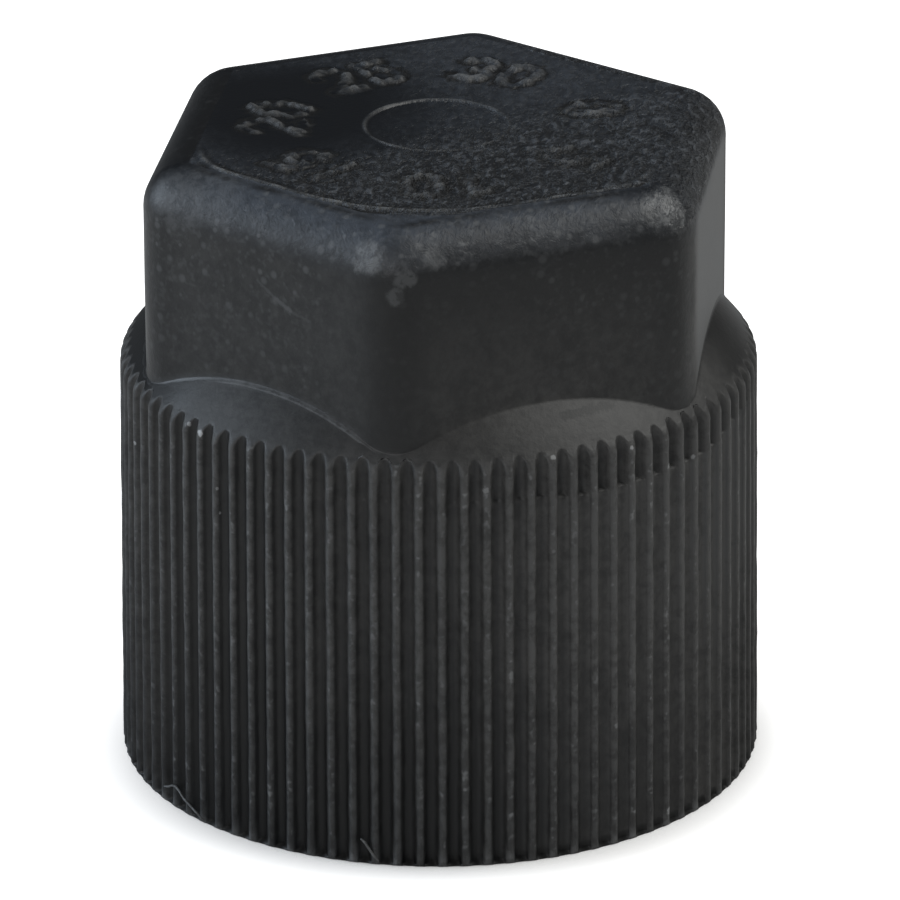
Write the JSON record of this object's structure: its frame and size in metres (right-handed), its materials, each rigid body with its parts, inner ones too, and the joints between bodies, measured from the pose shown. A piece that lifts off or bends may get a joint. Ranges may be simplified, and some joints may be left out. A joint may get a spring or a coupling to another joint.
{
  "type": "threaded protection cap",
  "caption": "Blind threaded protection cap with a finely ribbed grip skirt, a sloping shoulder and a rounded hexagon head.",
  "frame": {"origin": "centre of the open rim, in the plane of the rim", "axes": "+Z along the thread axis towards the closed hexagon head; +X is the normal of one hexagon flat"},
  "size_m": [0.02, 0.02, 0.0204],
  "materials": {
    "cap_plastic": "black moulded plastic, matte, lightly scuffed on the head's edges"
  },
  "bodies": {
    "root": {"cap": "cap_plastic"}
  },
  "joints": []
}
